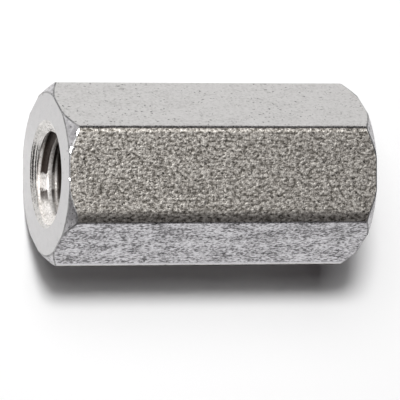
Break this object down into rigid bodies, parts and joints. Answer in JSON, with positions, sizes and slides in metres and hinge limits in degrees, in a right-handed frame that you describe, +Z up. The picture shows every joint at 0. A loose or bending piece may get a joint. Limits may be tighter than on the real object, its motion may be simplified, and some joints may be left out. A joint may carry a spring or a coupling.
{
  "type": "coupling nut",
  "caption": "Long hexagonal nut, tapped right through, with turned corner chamfers and a countersink at both ends.",
  "frame": {"origin": "middle of the underside, on the flat that the nut lies on", "axes": "+X along the thread's axis, +Z up out of the top flat, +Y across the corners"},
  "size_m": [0.0254, 0.0144, 0.0127],
  "materials": {
    "steel": "plain stainless steel: grained drawn flats, smooth turned end faces and chamfers"
  },
  "bodies": {
    "root": {"coupling_nut": "steel"}
  },
  "joints": []
}
